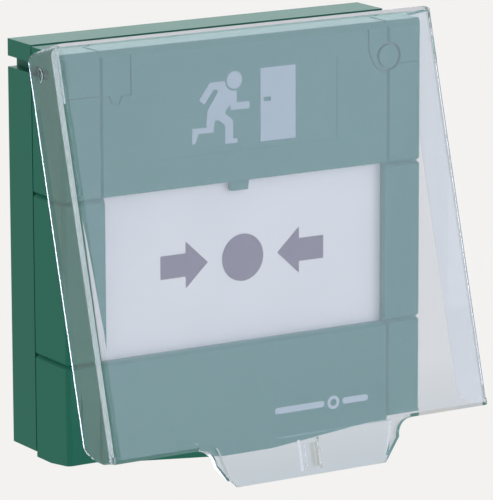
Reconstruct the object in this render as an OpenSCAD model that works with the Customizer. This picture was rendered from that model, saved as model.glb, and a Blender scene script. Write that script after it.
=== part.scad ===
// Manual call point with a pressed operating element and a hinged clear flap.
// Millimetres. Origin at the centre of the wall face, front faces -Y, +Z up, X right.
// The flap is drawn standing open by flap_tilt, which is the rest position.

/* [Housing] */
// Width of the face
face_w = 87; // [86:0.5:88]
// Height of the back box
face_h = 87; // [87:0.5:89]
// Depth of the back box, from the wall to the seam
box_d = 10; // [9:0.5:10.5]
// Depth from the wall to the front face
total_d = 24.6; // [24:0.1:26]
// Radius of the front housing's vertical corners
corner_r = 1.1; // [0.8:0.1:2]
// Side wall thickness
wall = 2; // [1.6:0.1:2]
// Front wall thickness
front_wall = 2.2; // [1.8:0.1:2.4]
// Bevel along the front top edge
bevel = 1.4; // [1.4:0.1:2]
// How far the chin hangs down at its middle
chin_drop = 2.7; // [0:0.1:3]

/* [Window and symbols] */
// Width of the window over the operating element
win_w = 69.4; // [60:0.2:69.4]
// Top edge of the window
win_top = 12.7; // [11:0.1:12.7]
// Bottom edge of the window
win_bot = -22.5; // [-22.5:0.1:-20]
// Half length from the centre to the tail of each arrow
arrow_tail = 20.2; // [18:0.1:22]
// Radius of the centre dot
dot_r = 5.1; // [4:0.1:6]

/* [Flap] */
// Flap wall thickness
flap_t = 1; // [0.9:0.1:1.1]
// Half width over the flap's side walls
flap_hw = 46.4; // [46.2:0.1:48]
// How far the flap stands open at rest, in degrees
flap_tilt = 15.5; // [0:0.5:60]
// Radius of the hinge pins
pin_r = 1.1; // [0.9:0.05:1.1]
// Radial clearance round the hinge pins
pin_clear = 0.05; // [0.02:0.01:0.1]
// Length of the pull tab below the flap plate
tab_len = 8.6; // [8.6:0.1:12]

/* [Mechanism] */
// Press travel of the operating element
travel = 1.5; // [1:0.1:1.5]
// Turns in each return spring
spring_turns = 5; // [3:1:6]

/* [Hidden] */
$fn = 64;
hw = face_w / 2;
box_top = face_h / 2;
box_bot = -face_h / 2;
front_hw = hw + 0.35;
front_top = box_top - 0.2;
front_bot = box_bot - 0.9;
heel_y = -17;
heel_rise = 0.9;
chin_z = box_bot - 0.4;
seam_gap = 1;
front_y = -total_d;
seam_y = -box_d - seam_gap;
inner_y = front_y + front_wall;
cav_hw = hw - wall;
fine = 0.1;

// Joint lines moulded into the front housing
line_x = 35.3;
line_z = 34.1;
groove_top = win_top - 0.45;
groove_bot = win_bot + 0.2;
groove_half = 0.6;
groove_deep = 0.7;
line_half = 0.4;
line_deep = 0.55;
trace_w = 0.4;
trace_deep = 0.3;

// Hinge guide slots and pivot seats
pin_y = -18.8;
pin_z = front_top - 4.6;
seat_r = pin_r + pin_clear;
slot_floor = hw - 2.1;
seat_floor = hw - 3.1;
rib_in = hw - 4.5;
rib_z = pin_z - 4.2;

// Fixing screw and its cap
fix_x = 35.4;
fix_z = 35.9;
cap_r = 2.4;
cap_ring_r = 3.1;
cap_ring_deep = 0.8;
fix_hole_r = 1.7;
fix_r = 1.5;

// Label
label_w = 44.6;
label_bot = 19.2;
label_top = 37;
label_deep = 0.4;
label_face = front_y + 0.15;
print_t = 0.08;

// Operating element
elem_gap = 0.1;
elem_t = 1.6;
elem_front = inner_y + elem_gap;
elem_back = elem_front + elem_t;
elem_mid = (win_top + win_bot) / 2;
elem_lap = 1.5;
symbol_z = -4.4;
peg_x = 30;
peg_r = 2;
peg_hole_r = 2.05;

// Mechanism carrier
carrier_t = 1.8;
carrier_front = elem_back + 8.7;
carrier_back = carrier_front + carrier_t;
carrier_hw = 38;
carrier_top = 20.5;
carrier_bot = -30.5;
post_x = 33;
post_top = 17.6;
post_bot = -27.6;
post_r = 2.4;
sleeve_r = 3.4;
sleeve_front = carrier_front - 4.5;
coil_r = 4.3;
wire_r = 0.3;

// Switch
switch_hw = 6.4;
switch_hh = 3.2;
switch_front = carrier_front - 5;
plunger_r = 0.9;
plunger_front = switch_front - 1.6;
plunger_back = switch_front + 2.4;
term_y = carrier_front - 2.5;
term_end = elem_mid - 6.1;
lead_r = 0.6;
lead_bend = 2;

// Circuit board
board_hw = 28;
board_bot = -40;
board_top = -14;
board_back = -4;
board_front = board_back - 1.6;
board_fix_x = 24;
board_fix_z = [-37, -17];
floor_y = -2;
block_x = -1;
block_pitch = 5;
block_n = 4;
block_bot = -39;
block_top = -31;
block_front = board_front - 8;

// Flap, measured from its pins: front, back, top and bottom
flap_front = -7.1 - flap_t;
flap_back = 3.9;
flap_top = 4.5 + flap_t;
flap_bot = -81.1;
flap_r = 2;
flap_in_r = 0.3;
rim_t = 0.45;
edge_r = 1.2;
roof_t = flap_t;
roof_back = -5;
rib_t = 1.5;
rib_back = flap_front + flap_t + 1.1;
step_z = -6.8;
step_t = 0.4;
ring_r = 1.5;
ring_t = 0.2;

// Reset cam
cam_x = -18;
cam_y = carrier_front - 5;
cam_bottom = front_bot + wall + 0.5;
arm_bot = -33;
arm_top = -30;
cam_r = 2.4;
journal_r = 1.5;
key_hole_r = 2;

// Wall side
screw_span = 60.3;
screw_hole_r = 2.2;
cable_z = 10;
cable_r = 5;
grommet_r = 10;
lip_r = 11;
lip_t = 0.8;

// ---- helpers ----

module block(x0, x1, y0, y1, z0, z1) {
    translate([x0, y0, z0])
        cube([x1 - x0, y1 - y0, z1 - z0]);
}

module ycyl(x, z, y0, y1, r) {
    translate([x, y1, z])
        rotate([90, 0, 0])
            cylinder(h = y1 - y0, r = r);
}

module zcyl(x, y, z0, z1, r) {
    translate([x, y, z0])
        cylinder(h = z1 - z0, r = r);
}

module xcyl(y, z, x0, x1, r) {
    translate([x0, y, z])
        rotate([0, 90, 0])
            cylinder(h = x1 - x0, r = r);
}

// Outline in X and Z, swept from y0 to y1
module yprism(y0, y1) {
    translate([0, y1, 0])
        rotate([90, 0, 0])
            linear_extrude(y1 - y0)
                children();
}

// Outline in Y and Z, swept from x0 to x1
module xprism(x0, x1) {
    translate([x0, 0, 0])
        rotate([90, 0, 90])
            linear_extrude(x1 - x0)
                children();
}

module both_sides() {
    children();
    mirror([1, 0, 0])
        children();
}

// Bar with rounded ends between two points of a flat outline
module limb(a, b, w) {
    t = atan2(b[1] - a[1], b[0] - a[0]);
    polygon([
        for (k = [-90:30:90]) b + w / 2 * [cos(t + k), sin(t + k)],
        for (k = [90:30:270]) a + w / 2 * [cos(t + k), sin(t + k)]
    ]);
}

// Square-ended strip along a, b, c with a mitred bend at b
module bent(a, b, c, w) {
    in = (b - a) / norm(b - a);
    out = (c - b) / norm(c - b);
    side_a = w / 2 * [-in[1], in[0]];
    side_c = w / 2 * [-out[1], out[0]];
    side_b = (side_a + side_c) / (1 + in * out);
    polygon([a + side_a, b + side_b, c + side_c, c - side_c, b - side_b, a - side_a]);
}

// ---- housing ----

// Plan outline of the front housing, rounded at its two front corners
module front_plan() {
    translate([-front_hw, front_y + corner_r])
        square([2 * front_hw, total_d + seam_y - corner_r]);
    translate([-front_hw + corner_r, front_y])
        square([2 * (front_hw - corner_r), corner_r + fine]);
    for (s = [-1, 1])
        translate([s * (front_hw - corner_r), front_y + corner_r])
            circle(corner_r);
}

// V groove that runs round both sides and the front at height z
module ring_groove(z) {
    xprism(-front_hw + corner_r, front_hw - corner_r)
        polygon([[front_y + groove_deep, z], [front_y - groove_deep, z - 2 * groove_half],
            [front_y - groove_deep, z + 2 * groove_half]]);
    both_sides() {
        yprism(front_y + corner_r, seam_y + 1)
            polygon([[front_hw - groove_deep, z], [front_hw + groove_deep, z - 2 * groove_half],
                [front_hw + groove_deep, z + 2 * groove_half]]);
        translate([front_hw - corner_r, front_y + corner_r, z])
            rotate([0, 0, -90])
                rotate_extrude(angle = 90)
                    polygon([[corner_r - groove_deep, 0], [corner_r + groove_deep, -2 * groove_half],
                        [corner_r + groove_deep, 2 * groove_half]]);
    }
}

// Fine V line down the front face at +X
module upright_line(z0, z1) {
    translate([0, 0, z0])
        linear_extrude(z1 - z0)
            polygon([[line_x, front_y + line_deep], [line_x - 2 * line_half, front_y - line_deep],
                [line_x + 2 * line_half, front_y - line_deep]]);
}

module moulded_lines() {
    ring_groove(groove_top);
    ring_groove(groove_bot);
    both_sides() {
        upright_line(win_top, front_top + 1);
        upright_line(front_bot - 1, win_bot);
        yprism(front_y, seam_y + 1)
            polygon([[line_x, front_top - line_deep], [line_x - 2 * line_half, front_top + line_deep],
                [line_x + 2 * line_half, front_top + line_deep]]);
        xprism(line_x, front_hw - corner_r)
            polygon([[front_y + line_deep / 2, line_z], [front_y - line_deep, line_z - line_half],
                [front_y - line_deep, line_z + line_half]]);
    }
}

// Shallow outlines of the corner panels: notched at -X, curved below the screw cap at +X
module corner_traces() {
    top = front_top + 1;
    yprism(front_y - 1, front_y + trace_deep) {
        bent([-28.3, top], [-28.3, 33.8], [-30.5, 33.8], trace_w);
        bent([-30.4, 33.9], [-31.2, 32.1], [-32, 32.1], trace_w);
        bent([-31.9, 32.1], [-32.8, 32.1], [-33.6, 33.9], trace_w);
        bent([-33.5, 33.8], [-34.4, 33.8], [-line_x, 33.8], trace_w);
        bent([30.1, top], [30.3, 37], [31.7, 34], trace_w);
        bent([31.6, 34.1], [33.1, 32.7], [line_x, 32.3], trace_w);
    }
}

// Guide slots from the wall side to the pivot seats, both sides
module hinge_cuts() {
    both_sides() {
        block(slot_floor, hw + 1, pin_y, 1, pin_z - seat_r, pin_z + seat_r);
        xcyl(pin_y, pin_z, seat_floor, hw + 1, seat_r);
    }
}

// Cutter for a 45 degree bevel along the front edge at height z
module edge_bevel(z, size, half) {
    xprism(-half, half)
        polygon([[front_y - 1, z - size - 1], [front_y - 1, z + 1], [front_y + size + 1, z + 1]]);
}

// Underside of the outer columns, sloping up towards the front
module heel_cuts() {
    both_sides()
        xprism(line_x, front_hw + 1)
            polygon([[heel_y, front_bot], [front_y, front_bot + heel_rise],
                [front_y - 1, front_bot + heel_rise], [front_y - 1, front_bot - 1], [heel_y, front_bot - 1]]);
}

// Lip along the bottom of the front face, deepest at its middle
module chin() {
    yprism(front_y, front_y + 5)
        polygon([[-line_x, front_bot + 1], [-line_x, chin_z], [-6, chin_z - chin_drop],
            [6, chin_z - chin_drop], [line_x, chin_z], [line_x, front_bot + 1]]);
}

module front_housing() {
    color([0.19, 0.42, 0.34])
        difference() {
            union() {
                difference() {
                    union() {
                        translate([0, 0, front_bot])
                            linear_extrude(front_top - front_bot)
                                front_plan();
                        chin();
                    }
                    block(-cav_hw, cav_hw, inner_y, seam_y + 1, front_bot + wall, front_top - wall);
                }
                both_sides()
                    block(rib_in, cav_hw + fine, inner_y - fine, seam_y, rib_z, front_top - wall + fine);
                ycyl(fix_x, fix_z, inner_y - fine, seam_y, 4.2);
                for (s = [-1, 1])
                    for (z = [post_bot, post_top])
                        ycyl(s * post_x, z, inner_y - fine, carrier_front, post_r);
            }
            moulded_lines();
            corner_traces();
            heel_cuts();
            edge_bevel(front_top, bevel, front_hw + 1);
            block(-win_w / 2, win_w / 2, front_y - 1, inner_y + fine, win_bot, win_top);
            edge_bevel(win_bot, 0.7, win_w / 2);
            block(-label_w / 2, label_w / 2, front_y - 1, front_y + label_deep, label_bot, label_top);
            hinge_cuts();
            ycyl(fix_x, fix_z, front_y - 1, front_y + 3, cap_ring_r);
            ycyl(fix_x, fix_z, front_y, seam_y + 1, fix_hole_r);
            for (s = [-1, 1])
                for (z = [post_bot, post_top])
                    ycyl(s * post_x, z, carrier_front - 7, carrier_front + 1, 1);
            zcyl(cam_x, cam_y, front_bot - 1, front_bot + wall + 1, key_hole_r);
        }
}

module back_box() {
    color([0.22, 0.47, 0.39])
        difference() {
            union() {
                difference() {
                    block(-hw, hw, -box_d, 0, box_bot, box_top);
                    block(-cav_hw, cav_hw, -box_d - 1, floor_y, box_bot + wall, box_top - wall);
                }
                both_sides()
                    block(rib_in, cav_hw + fine, -box_d, floor_y + fine, rib_z, box_top - wall + fine);
                both_sides()
                    block(cav_hw - 1.3, cav_hw - fine, -box_d - 2.2, floor_y + fine, -33, rib_z - 1);
                ycyl(fix_x, fix_z, seam_y, floor_y + fine, 3.4);
                for (s = [-1, 1])
                    for (z = board_fix_z)
                        ycyl(s * board_fix_x, z, board_back, floor_y + fine, 2.4);
            }
            both_sides()
                block(cav_hw - fine, cav_hw, -box_d - 3, -box_d + 2, -34, rib_z);
            hinge_cuts();
            ycyl(fix_x, fix_z, seam_y - 1, -3, fix_r);
            for (s = [-1, 1]) {
                ycyl(s * screw_span / 2, 0, floor_y - 1, 1, screw_hole_r);
                for (z = board_fix_z)
                    ycyl(s * board_fix_x, z, board_back - 1, -1.4, 0.9);
            }
            ycyl(0, cable_z, floor_y - 1, 1, grommet_r);
            ycyl(0, cable_z, -lip_t, 1, lip_r);
        }
}

module seam_gasket() {
    out = hw - 0.6;
    in = hw - 1.8;
    color([0.09, 0.14, 0.12])
        difference() {
            block(-out, out, seam_y, -box_d, box_bot + 0.6, front_top - 0.5);
            block(-in, in, seam_y - 1, -box_d + 1, box_bot + 1.8, front_top - wall + 0.2);
            hinge_cuts();
        }
}

module cable_grommet() {
    color([0.12, 0.12, 0.13])
        difference() {
            union() {
                ycyl(0, cable_z, -lip_t, 0, lip_r);
                ycyl(0, cable_z, floor_y, -lip_t + fine, grommet_r);
                ycyl(0, cable_z, floor_y - 1.6, floor_y, grommet_r + 1.6);
            }
            ycyl(0, cable_z, floor_y - 3, 1, cable_r);
        }
}

// ---- front face parts ----

module fixing_screw() {
    head_back = front_y + 3;
    color([0.7, 0.7, 0.72])
        difference() {
            union() {
                ycyl(fix_x, fix_z, head_back - 2, head_back, 2.6);
                ycyl(fix_x, fix_z, head_back - fine, -3.5, fix_r);
            }
            for (a = [0, 90])
                translate([fix_x, head_back - 2, fix_z])
                    rotate([0, a, 0])
                        cube([3.2, 2, 0.7], center = true);
        }
}

module screw_cap() {
    color([0.19, 0.42, 0.34]) {
        ycyl(fix_x, fix_z, front_y + cap_ring_deep, front_y + 1, cap_ring_r);
        ycyl(fix_x, fix_z, front_y, front_y + cap_ring_deep + fine, cap_r);
    }
}

module label_plate() {
    color([0.2, 0.43, 0.35])
        block(-label_w / 2, label_w / 2, label_face, front_y + label_deep, label_bot, label_top);
}

// Running figure leaving through a door
module exit_symbol() {
    head = [-3.2, 34.4];
    torso_top = [-5.3, 34.4];
    waist = [-6.9, 27.4];
    color([0.93, 0.95, 0.95])
        yprism(label_face - print_t, label_face) {
            translate(head)
                circle(1.87);
            difference() {
                union() {
                    polygon([[-8.2, 34.4], torso_top, [-2.67, 32.6], [-2.67, 29.8], [-4, 29.4],
                        [-5.4, 28.1], [-5.4, 26.4], [-7.9, 26.2], [-9.9, 27], [-9.84, 28.4], [-7.2, 32.3]]);
                    bent(torso_top - [0, 0.8], [-8.75, 33.6], [-11.2, 30.35], 1.6);
                    bent([-3.4, 31.5], [-3.4, 28.85], [0.46, 28.8], 1.52);
                    bent(waist, [-4.53, 25.4], [-4.56, 21], 1.93);
                    bent([-5.5, 21.45], [-4, 21.45], [-2.53, 21.47], 0.92);
                    bent([-8.9, 28], [-9.2, 24.3], [-13.5, 24.43], 1.15);
                    polygon([[-9.95, 27.5], [-8, 26.4], [-8.4, 23.7], [-10.1, 24.9]]);
                    polygon([[-13.54, 25], [-13.56, 21.75], [-12.95, 21.6], [-11.9, 23.87]]);
                }
                translate(head)
                    circle(2.3);
            }
            difference() {
                translate([3.2, 20.6])
                    square([8.7, 15.7]);
                translate([4, 29.1])
                    square([1.75, 0.95]);
            }
        }
}

// Plain printed mark low on the right of the face
module front_mark() {
    color([0.93, 0.95, 0.95])
        yprism(front_y - print_t, front_y) {
            limb([7.2, -38.6], [18.4, -38.6], 1.4);
            limb([24.4, -38.6], [29.6, -38.6], 1.4);
            translate([21.4, -38.6])
                difference() {
                    circle(1.5);
                    circle(0.8);
                }
        }
}

// Stop that hangs from the header in front of the element
module element_clip() {
    color([0.2, 0.42, 0.36])
        yprism(front_y + 0.7, elem_front - 0.3)
            polygon([[-3.9, win_top], [-3.6, win_top - 2.1], [0.4, win_top - 2.1], [0.7, win_top]]);
}

// ---- operating element ----

module element() {
    ew = win_w / 2 + elem_lap;
    color([0.93, 0.93, 0.95]) {
        block(-ew, ew, elem_front, elem_back, win_bot - elem_lap, win_top + elem_lap);
        for (s = [-1, 1])
            ycyl(s * peg_x, elem_mid, elem_back - fine, carrier_back - travel - 0.3, peg_r);
        ycyl(0, elem_mid, elem_back - fine, plunger_front - 0.02, 2.4);
    }
}

// Two arrows pointing at a dot
module press_symbol() {
    color([0.5, 0.5, 0.56])
        yprism(elem_front - print_t, elem_front) {
            translate([0, symbol_z])
                circle(dot_r);
            for (s = [0, 1])
                mirror([s, 0])
                    translate([0, symbol_z]) {
                        translate([arrow_tail - 6.2, -2.5])
                            square([6.2, 5]);
                        polygon([[arrow_tail - 6.15, -5.05], [arrow_tail - 6.15, 5.05],
                            [arrow_tail - 11.55, 0]]);
                    }
        }
}

// ---- mechanism ----

module carrier() {
    color([0.2, 0.2, 0.22])
        difference() {
            union() {
                block(-carrier_hw, carrier_hw, carrier_front, carrier_back, carrier_bot, carrier_top);
                for (s = [-1, 1])
                    ycyl(s * peg_x, elem_mid, sleeve_front, carrier_front + fine, sleeve_r);
                block(cam_x - 3.5, cam_x + 3.5, cam_y - 3, carrier_back, arm_bot, arm_top);
            }
            for (s = [-1, 1]) {
                ycyl(s * peg_x, elem_mid, sleeve_front - 1, carrier_back + 1, peg_hole_r);
                for (z = [post_bot, post_top])
                    ycyl(s * post_x, z, carrier_front - 1, carrier_back + 1, 1.2);
            }
            block(-7, 7, carrier_front - 1, carrier_back + 1, -22, -13);
            zcyl(cam_x, cam_y, arm_bot - 1, arm_top + 1, journal_r + 0.05);
        }
}

// Pan head screw driven in the -Y direction, head seat at y
module pan_screw(x, z, y, head_r, head_h, shank_r, len) {
    difference() {
        union() {
            ycyl(x, z, y, y + head_h, head_r);
            ycyl(x, z, y - len, y + fine, shank_r);
        }
        for (a = [0, 90])
            translate([x, y + head_h, z])
                rotate([0, a, 0])
                    cube([1.5 * head_r, head_h, 0.5], center = true);
    }
}

module carrier_screws() {
    color([0.7, 0.7, 0.72])
        for (s = [-1, 1])
            for (z = [post_bot, post_top])
                pan_screw(s * post_x, z, carrier_back, 2, 1.3, 1, carrier_t + 6);
}

function turn(a, c) = [cos(a) * c[0], sin(a) * c[0], c[1]];

// Round wire wound on radius r from z = 0 to z = h
module coil(r, w, turns, h) {
    steps = turns * 16;
    sides = 6;
    rise = (h - 2 * w) / steps;
    points = [for (i = [0:steps]) for (j = [0:sides - 1])
        turn(i * 22.5, [r + w * cos(j * 360 / sides), w + i * rise + w * sin(j * 360 / sides)])];
    walls = [for (i = [0:steps - 1]) for (j = [0:sides - 1])
        [i * sides + j, (i + 1) * sides + j, (i + 1) * sides + (j + 1) % sides, i * sides + (j + 1) % sides]];
    first = [for (j = [0:sides - 1]) j];
    last = [for (j = [sides - 1:-1:0]) steps * sides + j];
    polyhedron(points, concat(walls, [first, last]), convexity = 10);
}

module return_springs() {
    color([0.75, 0.75, 0.78])
        for (s = [-1, 1])
            translate([s * peg_x, carrier_front, elem_mid])
                rotate([90, 0, 0])
                    coil(coil_r, wire_r, spring_turns, carrier_front - elem_back);
}

module switch_body() {
    color([0.12, 0.12, 0.13])
        difference() {
            block(-switch_hw, switch_hw, switch_front, carrier_front,
                elem_mid - switch_hh, elem_mid + switch_hh);
            ycyl(0, elem_mid, switch_front - 1, plunger_back + travel + 0.3, plunger_r + 0.05);
        }
}

module switch_plunger() {
    color([0.75, 0.2, 0.15])
        ycyl(0, elem_mid, plunger_front, plunger_back, plunger_r);
}

module switch_terminals() {
    color([0.8, 0.68, 0.35])
        for (x = [-5, 0, 5])
            block(x - 0.6, x + 0.6, term_y - 0.25, term_y + 0.25, term_end, elem_mid - switch_hh);
}

module switch_leads() {
    bend_z = term_end - 4.5;
    color([0.75, 0.15, 0.12])
        for (x = [-5, 5]) {
            zcyl(x, term_y, bend_z, term_end, lead_r);
            translate([x, term_y + lead_bend, bend_z])
                rotate([90, 0, 90])
                    rotate([0, 0, 180])
                        rotate_extrude(angle = 90)
                            translate([lead_bend, 0])
                                circle(lead_r);
            ycyl(x, bend_z - lead_bend, term_y + lead_bend, board_front, lead_r);
        }
}

// ---- circuit board ----

module circuit_board() {
    color([0.1, 0.35, 0.2])
        difference() {
            block(-board_hw, board_hw, board_front, board_back, board_bot, board_top);
            for (s = [-1, 1])
                for (z = board_fix_z)
                    ycyl(s * board_fix_x, z, board_front - 1, board_back + 1, 1.1);
        }
}

module board_parts() {
    color([0.15, 0.15, 0.16]) {
        block(-20, -8, board_front - 3.2, board_front, -34, -25);
        for (z = [-22, -18.5])
            xcyl(board_front - 1.1, z, 10, 16.5, 1.1);
        ycyl(-13, -19.5, board_front - 3, board_front, 2.5);
    }
}

module board_screws() {
    color([0.7, 0.7, 0.72])
        mirror([0, 1, 0])
            for (s = [-1, 1])
                for (z = board_fix_z)
                    pan_screw(s * board_fix_x, z, -board_front, 1.8, 1.1, 0.9, 3.2);
}

module terminal_block() {
    color([0.25, 0.5, 0.62])
        difference() {
            block(block_x, block_x + block_n * block_pitch, block_front, board_front, block_bot, block_top);
            for (i = [0:block_n - 1]) {
                ycyl(block_x + (i + 0.5) * block_pitch, -34, block_front - 1, block_front + 3.6, 1.7);
                zcyl(block_x + (i + 0.5) * block_pitch, board_front - 2.4, block_bot - 1, block_bot + 5, 1.3);
            }
        }
}

module terminal_screws() {
    color([0.75, 0.75, 0.78])
        for (i = [0:block_n - 1])
            difference() {
                ycyl(block_x + (i + 0.5) * block_pitch, -34, block_front + 0.6, block_front + 3.6, 1.7);
                translate([block_x + (i + 0.5) * block_pitch, block_front + 0.6, -34])
                    cube([4, 1.2, 0.6], center = true);
            }
}

// ---- reset cam ----

module reset_cam() {
    color([0.85, 0.65, 0.2])
        difference() {
            union() {
                zcyl(cam_x, cam_y, cam_bottom, arm_bot - fine, cam_r);
                zcyl(cam_x, cam_y, arm_bot - 0.2, arm_top + 0.2, journal_r);
                zcyl(cam_x, cam_y, arm_top + fine, arm_top + 2.2, cam_r);
                block(cam_x, cam_x + 4.4, cam_y - 1.2, cam_y + 1.2, arm_top + fine, arm_top + 2.2);
            }
            block(cam_x - 1.5, cam_x + 1.5, cam_y - 0.5, cam_y + 0.5, cam_bottom - 1, cam_bottom + 3);
        }
}

// ---- flap ----

// U-shaped plan of the flap: front plate and two side walls that thin out to a rim
module flap_plan() {
    module shell(half, y, r) {
        translate([-half, y + r])
            square([2 * half, flap_back - y - r]);
        translate([-half + r, y])
            square([2 * half - 2 * r, r + fine]);
        for (s = [-1, 1])
            translate([s * (half - r), y + r])
                circle(r);
    }
    difference() {
        shell(flap_hw, flap_front, flap_r);
        translate([0, fine])
            shell(flap_hw - flap_t, flap_front + flap_t - fine, flap_in_r);
        polygon([[-flap_hw + flap_t, flap_back - 1.6], [flap_hw - flap_t, flap_back - 1.6],
            [flap_hw - rim_t, flap_back + fine], [-flap_hw + rim_t, flap_back + fine]]);
    }
}

// Side outline of the flap, swept back at the bottom and rounded at the two top edges
module flap_side() {
    heel_r = 2;
    polygon([[flap_front + edge_r, flap_top], [flap_back - heel_r, flap_top - 0.7],
        [flap_back, flap_top - 0.7 - heel_r], [flap_back, flap_bot + 4.1], [flap_back - 0.7, flap_bot + 3],
        [0.8, flap_bot + 1.6], [-3.7, flap_bot + 0.25], [flap_front + 0.7, flap_bot],
        [flap_front, flap_bot + 0.7], [flap_front, flap_top - edge_r]]);
    translate([flap_front + edge_r, flap_top - edge_r])
        circle(edge_r);
    translate([flap_back - heel_r, flap_top - 0.75 - heel_r])
        circle(heel_r);
}

// Front outline of the flap above its tab, with round corners
module flap_face() {
    top_r = 2.2;
    bot_r = 0.8;
    translate([-flap_hw, flap_bot + bot_r])
        square([2 * flap_hw, flap_top - flap_bot - top_r - bot_r]);
    translate([-flap_hw + top_r, flap_top - 2 * top_r])
        square([2 * (flap_hw - top_r), 2 * top_r]);
    translate([-flap_hw + bot_r, flap_bot])
        square([2 * (flap_hw - bot_r), 2 * bot_r]);
    for (s = [-1, 1]) {
        translate([s * (flap_hw - top_r), flap_top - top_r])
            circle(top_r);
        translate([s * (flap_hw - bot_r), flap_bot + bot_r])
            circle(bot_r);
    }
}

// Pull tab outline, hung from its root at the origin with a hollow curve at each shoulder
module tab_outline(root, tip, len) {
    flare = 3.6;
    polygon([[-root, 1.6], [-root, -flare], [-tip, -len], [tip, -len], [root, -flare], [root, 1.6]]);
    for (s = [0, 1])
        mirror([s, 0])
            difference() {
                translate([root - fine, -flare])
                    square([flare + fine, flare + 1.6]);
                translate([root + flare, -flare])
                    circle(flare);
            }
}

// Pull tab with a rim down both sides and a shallow pocket for a seal
module pull_tab() {
    root = 22.4;
    tip = 18.2;
    pocket_x = 0.65;
    difference() {
        translate([0, 0, flap_bot])
            union() {
                yprism(flap_front, flap_front + flap_t)
                    tab_outline(root, tip, tab_len);
                difference() {
                    yprism(flap_front, rib_back)
                        tab_outline(root, tip, tab_len);
                    yprism(flap_front - 1, rib_back + 1)
                        translate([0, rib_t])
                            tab_outline(root - rib_t, tip - 0.5, tab_len + 6);
                }
                block(pocket_x - 2.3, pocket_x + 2.3, flap_front + fine, rib_back, -7.5, -1);
            }
        block(pocket_x - 1.7, pocket_x + 1.7, flap_front - 1, rib_back - 0.5, flap_bot - 6.9, flap_bot - 2);
    }
}

module flap() {
    wall_in = flap_hw - flap_t;
    color([0.85, 0.88, 0.93, 0.4])
        translate([0, pin_y, pin_z])
            rotate([-flap_tilt, 0, 0]) {
                intersection() {
                    union() {
                        translate([0, 0, flap_bot - 1])
                            linear_extrude(flap_top - flap_bot + 2)
                                flap_plan();
                        block(-wall_in - 0.5, wall_in + 0.5, flap_front + 0.4, roof_back,
                            flap_top - roof_t, flap_top + 1);
                        block(-wall_in - 0.5, wall_in + 0.5, flap_front + 0.4, rib_back,
                            flap_bot - 1, flap_bot + rib_t);
                        both_sides()
                            block(wall_in - step_t, wall_in + step_t, flap_front + 0.4, flap_back,
                                step_z, flap_top + 1);
                    }
                    xprism(-flap_hw - 1, flap_hw + 1)
                        flap_side();
                    yprism(flap_front - 1, flap_back + 1)
                        flap_face();
                }
                pull_tab();
                both_sides() {
                    xcyl(0, 0, seat_floor + fine, wall_in, pin_r);
                    difference() {
                        xcyl(0, 0, wall_in, flap_hw + ring_t, ring_r);
                        xcyl(0, 0, flap_hw, flap_hw + 1, ring_r - 0.6);
                    }
                }
            }
}

back_box();
front_housing();
seam_gasket();
cable_grommet();
fixing_screw();
screw_cap();
label_plate();
exit_symbol();
front_mark();
element_clip();
element();
press_symbol();
carrier();
carrier_screws();
return_springs();
switch_body();
switch_plunger();
switch_terminals();
switch_leads();
circuit_board();
board_parts();
board_screws();
terminal_block();
terminal_screws();
reset_cam();
flap();
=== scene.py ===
# Looks for the manual call point: moulded green housing, white press element, hinged clear flap.
# Metres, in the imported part's own frame: the front faces -Y and +Z is up.
import math

import bmesh
import bpy
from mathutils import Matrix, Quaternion, Vector


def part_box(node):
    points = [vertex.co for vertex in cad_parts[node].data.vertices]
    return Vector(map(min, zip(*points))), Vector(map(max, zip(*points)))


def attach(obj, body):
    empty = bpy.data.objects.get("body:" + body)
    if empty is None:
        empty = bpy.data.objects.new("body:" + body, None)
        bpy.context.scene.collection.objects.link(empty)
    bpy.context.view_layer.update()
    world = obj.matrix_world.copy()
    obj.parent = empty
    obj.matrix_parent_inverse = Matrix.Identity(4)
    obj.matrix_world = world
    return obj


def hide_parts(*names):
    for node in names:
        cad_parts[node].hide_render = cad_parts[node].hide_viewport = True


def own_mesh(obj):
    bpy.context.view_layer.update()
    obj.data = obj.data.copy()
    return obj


# Camera and floor
CAMERA_AT = (-0.4662, -0.7855, 0.1946)
LOOK_AT = (0.00751, -0.012, -0.00562)
CAMERA_ROLL = math.radians(-0.2)
LENS = 311.0
FLOOR_Z = -0.32

# Base colours, linear
GREEN = (0.006, 0.140, 0.085)
LABEL_GREEN = (0.006, 0.134, 0.088)
WHITE = (0.74, 0.73, 0.71)
PRINT_WHITE = (0.34, 0.42, 0.46)
PRINT_GREY = (0.12, 0.075, 0.105)
# Tones of the surroundings: as the camera sees them, and as soft light
BACKDROP = (0.896, 0.888, 0.871)
AMBIENT = (0.80, 0.81, 0.82)
# Seen through the flap: the floor near the object with a painted shadow of the object on it, a darker
# backdrop behind it than the camera sees, and a dark blue tone far to the right
SHADED_FLOOR = (0.38, 0.43, 0.42)
BEHIND_FLAP = (0.59, 0.575, 0.545)
FAR_RIGHT = (0.10, 0.17, 0.27)
# Light that has run along inside the flap's walls, by the side it leaves towards
GUIDED_LEFT = (0.50, 0.60, 0.61)
GUIDED_RIGHT = (0.66, 0.65, 0.66)
# Mirrored in glossy surfaces
MIRRORED_FRONT = (0.08, 0.09, 0.10)
MIRRORED_BACK = (0.36, 0.38, 0.40)
MIRRORED_FLOOR = (0.30, 0.32, 0.33)
# Where one tone turns into the next: a share of the ray's direction, or metres on the floor
MIRRORED_TURN = (-0.3, 0.4)
FAR_RIGHT_TURN = (0.78, 0.88)
GUIDED_TURN = (-0.1, 0.1)
MIRRORED_FLOOR_TURN = (-0.3, 0.3)
SHADED_FLOOR_TURN = (0.74, 0.94)
# A ray that has met more surfaces than this is trapped in the flap's walls
TRAPPED_DEPTH = 3.5

# Widths of the rounded edges
FRONT_EDGE = 0.00025
BOX_EDGE = 0.0005

# The return springs
COIL_TURNS = 7
STEPS_PER_TURN = 24
WIRE_SIDES = 12
WIRE_RADIUS = 0.0003
END_GAP = 0.00003

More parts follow.
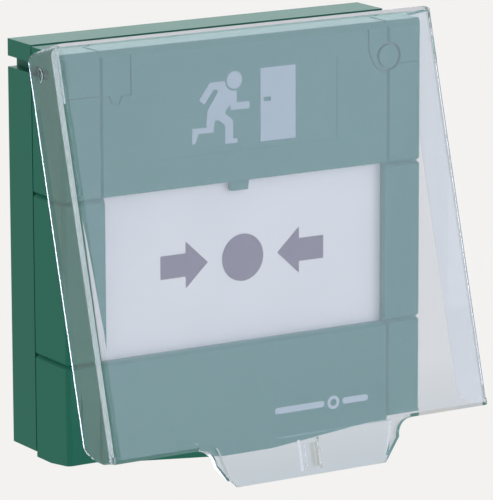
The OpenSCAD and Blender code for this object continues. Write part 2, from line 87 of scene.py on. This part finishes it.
SLOTS = {
    "green_plastic": ["back_box"],
    "front_green": ["front_housing", "screw_cap", "element_clip"],
    "label_green": ["label_plate"],
    "dark_rubber": ["seam_gasket", "cable_grommet"],
    "white_print": ["exit_symbol", "front_mark"],
    "white_plastic": ["element"],
    "grey_print": ["press_symbol"],
    "clear_plastic": ["flap"],
    "dark_plastic": ["carrier", "switch_body", "board_parts"],
    "red_plastic": ["switch_plunger", "switch_leads"],
    "blue_plastic": ["terminal_block"],
    "yellow_plastic": ["reset_cam"],
    "board_green": ["circuit_board"],
    "steel": ["fixing_screw", "carrier_screws", "board_screws", "terminal_screws"],
    "brass": ["switch_terminals"],
}


def new_material(name):
    """An empty node-based material, as (material, nodes, links, output node)."""
    material = bpy.data.materials.new(name)
    material.use_nodes = True
    nodes = material.node_tree.nodes
    nodes.clear()
    out = nodes.new("ShaderNodeOutputMaterial")
    return material, nodes, material.node_tree.links, out


def moulded(name, color, roughness=0.4, grain=0.05, scale=2600.0, metallic=0.0, coat=0.0, level=0.5):
    """A solid coloured surface with a fine grain, slightly uneven gloss and faint mottling."""
    material, nodes, links, out = new_material(name)
    coord = nodes.new("ShaderNodeTexCoord")
    fine = nodes.new("ShaderNodeTexNoise")
    fine.inputs["Scale"].default_value = scale
    fine.inputs["Detail"].default_value = 3.0
    broad = nodes.new("ShaderNodeTexNoise")
    broad.inputs["Scale"].default_value = 38.0
    broad.inputs["Detail"].default_value = 2.0
    links.new(coord.outputs["Object"], fine.inputs["Vector"])
    links.new(coord.outputs["Object"], broad.inputs["Vector"])
    shade = nodes.new("ShaderNodeMixRGB")
    shade.inputs["Color1"].default_value = (*[c * 0.93 for c in color], 1)
    shade.inputs["Color2"].default_value = (*[min(1, c * 1.07) for c in color], 1)
    links.new(broad.outputs["Fac"], shade.inputs["Fac"])
    gloss = nodes.new("ShaderNodeMapRange")
    gloss.inputs["To Min"].default_value = roughness - 0.06
    gloss.inputs["To Max"].default_value = roughness + 0.06
    links.new(broad.outputs["Fac"], gloss.inputs["Value"])
    bump = nodes.new("ShaderNodeBump")
    bump.inputs["Strength"].default_value = grain
    bump.inputs["Distance"].default_value = 0.00005
    links.new(fine.outputs["Fac"], bump.inputs["Height"])
    surface = nodes.new("ShaderNodeBsdfPrincipled")
    surface.inputs["Metallic"].default_value = metallic
    surface.inputs["Coat Weight"].default_value = coat
    surface.inputs["Specular IOR Level"].default_value = level
    links.new(shade.outputs["Color"], surface.inputs["Base Color"])
    links.new(gloss.outputs["Result"], surface.inputs["Roughness"])
    links.new(bump.outputs["Normal"], surface.inputs["Normal"])
    links.new(surface.outputs["BSDF"], out.inputs["Surface"])
    return material


def clear_plastic():
    """Clear moulded sheet that refracts, absorbs a little, and passes soft light straight on."""
    material, nodes, links, out = new_material("clear_plastic")
    coord = nodes.new("ShaderNodeTexCoord")
    cloud = nodes.new("ShaderNodeTexNoise")
    cloud.inputs["Scale"].default_value = 22.0
    cloud.inputs["Detail"].default_value = 1.5
    links.new(coord.outputs["Object"], cloud.inputs["Vector"])
    tint = nodes.new("ShaderNodeMixRGB")
    tint.inputs["Color1"].default_value = (0.975, 0.975, 0.98, 1)
    tint.inputs["Color2"].default_value = (0.985, 0.985, 0.99, 1)
    links.new(cloud.outputs["Fac"], tint.inputs["Fac"])
    glass = nodes.new("ShaderNodeBsdfGlass")
    glass.inputs["IOR"].default_value = 1.5
    glass.inputs["Roughness"].default_value = 0.0
    links.new(tint.outputs["Color"], glass.inputs["Color"])
    haze = nodes.new("ShaderNodeBsdfDiffuse")
    haze.inputs["Color"].default_value = (0.70, 0.88, 0.98, 1)
    body = nodes.new("ShaderNodeMixShader")
    body.inputs["Fac"].default_value = 0.04
    links.new(glass.outputs["BSDF"], body.inputs[1])
    links.new(haze.outputs["BSDF"], body.inputs[2])
    open_air = nodes.new("ShaderNodeBsdfTransparent")
    open_air.inputs["Color"].default_value = (0.855, 0.855, 0.86, 1)
    path = nodes.new("ShaderNodeLightPath")
    either = nodes.new("ShaderNodeMath")
    either.operation = "MAXIMUM"
    links.new(path.outputs["Is Shadow Ray"], either.inputs[0])
    links.new(path.outputs["Is Diffuse Ray"], either.inputs[1])
    straight = nodes.new("ShaderNodeMixShader")
    links.new(either.outputs["Value"], straight.inputs["Fac"])
    links.new(body.outputs["Shader"], straight.inputs[1])
    links.new(open_air.outputs["BSDF"], straight.inputs[2])
    escape = nodes.new("ShaderNodeBsdfTransparent")
    trapped = nodes.new("ShaderNodeMath")
    trapped.operation = "GREATER_THAN"
    trapped.inputs[1].default_value = TRAPPED_DEPTH
    links.new(path.outputs["Ray Depth"], trapped.inputs[0])
    final = nodes.new("ShaderNodeMixShader")
    links.new(trapped.outputs["Value"], final.inputs["Fac"])
    links.new(straight.outputs["Shader"], final.inputs[1])
    links.new(escape.outputs["BSDF"], final.inputs[2])
    links.new(final.outputs["Shader"], out.inputs["Surface"])
    return material


def make_materials():
    return {
        "green_plastic": moulded("green_plastic", GREEN, roughness=0.42),
        "front_green": moulded("front_green", GREEN, roughness=0.42, level=0.36),
        "label_green": moulded("label_green", LABEL_GREEN, roughness=0.5, scale=3200.0),
        "dark_rubber": moulded("dark_rubber", (0.02, 0.024, 0.022), roughness=0.7, grain=0.1),
        "white_print": moulded("white_print", PRINT_WHITE, roughness=0.55, grain=0.03),
        "white_plastic": moulded("white_plastic", WHITE, roughness=0.35, grain=0.02),
        "grey_print": moulded("grey_print", PRINT_GREY, roughness=0.5, grain=0.03),
        "clear_plastic": clear_plastic(),
        "dark_plastic": moulded("dark_plastic", (0.028, 0.028, 0.032), roughness=0.5, grain=0.12),
        "red_plastic": moulded("red_plastic", (0.5, 0.045, 0.03), roughness=0.35),
        "blue_plastic": moulded("blue_plastic", (0.05, 0.2, 0.33), roughness=0.45),
        "yellow_plastic": moulded("yellow_plastic", (0.66, 0.4, 0.05), roughness=0.4),
        "board_green": moulded("board_green", (0.015, 0.11, 0.04), roughness=0.3, coat=0.4),
        "steel": moulded("steel", (0.62, 0.62, 0.64), roughness=0.3, metallic=1.0),
        "brass": moulded("brass", (0.72, 0.52, 0.2), roughness=0.28, metallic=1.0),
    }


def soften(obj, width):
    """Welds the split corners and rounds the sharp edges."""
    weld = obj.modifiers.new("weld", "WELD")
    weld.merge_threshold = 0.000005
    bevel = obj.modifiers.new("round", "BEVEL")
    bevel.width = width
    bevel.segments = 3
    bevel.limit_method = "ANGLE"
    bevel.angle_limit = math.radians(35)
    bevel.harden_normals = True


def dress_nodes(nodes, materials):
    """Gives each CAD node the one material of its slot."""
    for slot, names in SLOTS.items():
        for name in names:
            obj = nodes[name]
            obj.data.materials.clear()
            obj.data.materials.append(materials[slot])


def coil_height(turn, length):
    """Height of the wire's centre: one closed turn at each end, even pitch between them."""
    closed = 2.1 * WIRE_RADIUS
    if turn < 1:
        return closed * turn
    if turn > COIL_TURNS - 1:
        return length - closed * (COIL_TURNS - turn)
    return closed + (length - 2 * closed) * (turn - 1) / (COIL_TURNS - 2)


def add_coil(mesh, middle, radius, length):
    """One coil of round wire along Y, which starts at the point given."""
    rings = []
    for step in range(COIL_TURNS * STEPS_PER_TURN + 1):
        turn = step / STEPS_PER_TURN
        angle = math.tau * turn
        ring = []
        for side in range(WIRE_SIDES):
            around = math.tau * side / WIRE_SIDES
            reach = radius + WIRE_RADIUS * math.cos(around)
            height = coil_height(turn, length) + WIRE_RADIUS * math.sin(around)
            offset = Vector((reach * math.cos(angle), height, reach * math.sin(angle)))
            ring.append(mesh.verts.new(middle + offset))
        rings.append(ring)
    for ring, following in zip(rings, rings[1:]):
        for side in range(WIRE_SIDES):
            beside = (side + 1) % WIRE_SIDES
            mesh.faces.new((ring[side], ring[beside], following[beside], following[side]))
    mesh.faces.new(rings[0])
    mesh.faces.new(rings[-1])


def make_springs(material):
    """Round-wire coils in place of the return springs, carried with the housing."""
    low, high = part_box("return_springs")
    outer = (high[2] - low[2]) / 2
    front = low[1] + END_GAP + WIRE_RADIUS
    length = high[1] - END_GAP - WIRE_RADIUS - front
    mesh = bmesh.new()
    for x in (low[0] + outer, high[0] - outer):
        add_coil(mesh, Vector((x, front, low[2] + outer)), outer - WIRE_RADIUS, length)
    bmesh.ops.recalc_face_normals(mesh, faces=mesh.faces)
    for face in mesh.faces:
        face.smooth = len(face.verts) == 4
    data = bpy.data.meshes.new("spring_coils")
    mesh.to_mesh(data)
    mesh.free()
    data.materials.append(material)
    coils = bpy.data.objects.new("spring_coils", data)
    bpy.context.scene.collection.objects.link(coils)
    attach(coils, "housing")
    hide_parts("return_springs")
    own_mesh(coils)


def add_panel(name, at, size, strength, color):
    """A square panel of soft light that faces the origin."""
    light = bpy.data.lights.new(name, "AREA")
    light.shape = "SQUARE"
    light.size = size
    light.energy = strength
    light.color = color
    obj = bpy.data.objects.new(name, light)
    obj.location = at
    obj.rotation_euler = (-Vector(at)).to_track_quat("-Z", "Y").to_euler()
    bpy.context.scene.collection.objects.link(obj)
    return obj


def light_only(panel, objects):
    """Keeps a panel off everything else, such as clear edges that would catch it as hard white lines."""
    lit = bpy.data.collections.new(panel.name + "_receivers")
    for obj in objects:
        lit.objects.link(obj)
    panel.light_linking.receiver_collection = lit


def tone_by_ray(nodes, links, mirrored, behind, inside):
    """Colour of the surroundings for each kind of ray: soft light, gloss, clear plastic or camera."""
    path = nodes.new("ShaderNodeLightPath")
    guided = nodes.new("ShaderNodeMath")
    guided.operation = "GREATER_THAN"
    guided.inputs[1].default_value = TRAPPED_DEPTH
    links.new(path.outputs["Ray Depth"], guided.inputs[0])
    deep = nodes.new("ShaderNodeMath")
    deep.operation = "MULTIPLY"
    links.new(guided.outputs["Value"], deep.inputs[0])
    links.new(path.outputs["Is Glossy Ray"], deep.inputs[1])
    tone = nodes.new("ShaderNodeRGB")
    tone.outputs[0].default_value = (*AMBIENT, 1)
    current = tone.outputs[0]
    backdrop = nodes.new("ShaderNodeRGB")
    backdrop.outputs[0].default_value = (*BACKDROP, 1)
    layers = (
        (path.outputs["Is Glossy Ray"], mirrored),
        (path.outputs["Is Transmission Ray"], behind),
        (deep.outputs["Value"], inside),
        (path.outputs["Is Camera Ray"], backdrop.outputs[0]),
    )
    for share, color in layers:
        mix = nodes.new("ShaderNodeMixRGB")
        links.new(share, mix.inputs["Fac"])
        links.new(current, mix.inputs["Color1"])
        links.new(color, mix.inputs["Color2"])
        current = mix.outputs["Color"]
    return current


def blend_along(nodes, links, vector, axis, turn, first, last):
    """Blends from the first tone to the last as one coordinate of the vector goes through the turn."""
    split = nodes.new("ShaderNodeSeparateXYZ")
    links.new(vector, split.inputs["Vector"])
    along = nodes.new("ShaderNodeMapRange")
    along.inputs["From Min"].default_value, along.inputs["From Max"].default_value = turn
    links.new(split.outputs[axis], along.inputs["Value"])
    blend = nodes.new("ShaderNodeMixRGB")
    links.new(along.outputs["Result"], blend.inputs["Fac"])
    for name, tone in (("Color1", first), ("Color2", last)):
        if isinstance(tone, tuple):
            blend.inputs[name].default_value = (*tone, 1)
        else:
            links.new(tone, blend.inputs[name])
    return blend.outputs["Color"]


def make_world():
    """The air round the object."""
    world = bpy.data.worlds.new("studio")
    bpy.context.scene.world = world
    world.use_nodes = True
    nodes, links = world.node_tree.nodes, world.node_tree.links
    nodes.clear()
    out = nodes.new("ShaderNodeOutputWorld")
    air = nodes.new("ShaderNodeBackground")
    coord = nodes.new("ShaderNodeTexCoord")
    ray = coord.outputs["Generated"]
    mirrored = blend_along(nodes, links, ray, "Y", MIRRORED_TURN, MIRRORED_FRONT, MIRRORED_BACK)
    behind = blend_along(nodes, links, ray, "X", FAR_RIGHT_TURN, BEHIND_FLAP, FAR_RIGHT)
    inside = blend_along(nodes, links, ray, "X", GUIDED_TURN, GUIDED_LEFT, GUIDED_RIGHT)
    links.new(tone_by_ray(nodes, links, mirrored, behind, inside), air.inputs["Color"])
    links.new(air.outputs["Background"], out.inputs["Surface"])


def make_floor():
    """A plain pale floor that glows evenly for the camera; rays through the flap see a painted shadow of
    the object on it, and glossy rays see painted reflection tones.
    """
    material, nodes, links, out = new_material("studio_floor")
    place = nodes.new("ShaderNodeNewGeometry")
    spot = place.outputs["Position"]
    flip = nodes.new("ShaderNodeVectorMath")
    flip.operation = "SCALE"
    flip.inputs["Scale"].default_value = -1
    links.new(place.outputs["Incoming"], flip.inputs[0])
    ray = flip.outputs["Vector"]
    mirrored = blend_along(nodes, links, spot, "Y", MIRRORED_FLOOR_TURN, MIRRORED_FRONT, MIRRORED_FLOOR)
    # Painted shadow of the object on the floor, darker near the object, seen only through the flap
    shaded = blend_along(nodes, links, spot, "Y", SHADED_FLOOR_TURN, SHADED_FLOOR, BEHIND_FLAP)
    behind = blend_along(nodes, links, ray, "X", FAR_RIGHT_TURN, shaded, FAR_RIGHT)
    inside = blend_along(nodes, links, ray, "X", GUIDED_TURN, GUIDED_LEFT, GUIDED_RIGHT)
    glow = nodes.new("ShaderNodeEmission")
    links.new(tone_by_ray(nodes, links, mirrored, behind, inside), glow.inputs["Color"])
    links.new(glow.outputs["Emission"], out.inputs["Surface"])
    bpy.ops.mesh.primitive_plane_add(size=12, location=(0, 0, FLOOR_Z))
    floor = bpy.context.object
    floor.name = "studio_floor"
    floor.data.materials.append(material)


def make_camera():
    data = bpy.data.cameras.new("camera")
    data.lens = LENS
    data.clip_end = 50
    camera = bpy.data.objects.new("camera", data)
    camera.location = CAMERA_AT
    aim = (Vector(LOOK_AT) - Vector(CAMERA_AT)).to_track_quat("-Z", "Y")
    camera.rotation_mode = "QUATERNION"
    camera.rotation_quaternion = aim @ Quaternion((0, 0, 1), CAMERA_ROLL)
    bpy.context.scene.collection.objects.link(camera)
    bpy.context.scene.camera = camera


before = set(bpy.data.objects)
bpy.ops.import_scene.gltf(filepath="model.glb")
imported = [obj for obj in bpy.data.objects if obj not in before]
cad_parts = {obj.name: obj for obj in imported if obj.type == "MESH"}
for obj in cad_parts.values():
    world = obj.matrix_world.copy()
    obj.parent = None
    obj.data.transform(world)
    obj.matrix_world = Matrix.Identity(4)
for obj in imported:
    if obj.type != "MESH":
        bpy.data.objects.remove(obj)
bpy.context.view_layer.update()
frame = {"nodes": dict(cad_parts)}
nodes = frame["nodes"]
materials = make_materials()
dress_nodes(nodes, materials)
make_springs(materials["steel"])
soften(nodes["front_housing"], FRONT_EDGE)
soften(nodes["back_box"], BOX_EDGE)
make_world()
make_floor()
add_panel("key_panel", (0.75, -1.25, 0.35), 0.9, 6.0, (0.68, 0.77, 1.0))
top_panel = add_panel("top_panel", (0.45, 0.55, 0.75), 1.1, 9.0, (0.92, 0.94, 1.0))
light_only(top_panel, [obj for name, obj in nodes.items() if name != "flap"])
make_camera()
view = bpy.context.scene.view_settings
view.view_transform = "Standard"
view.look = "None"
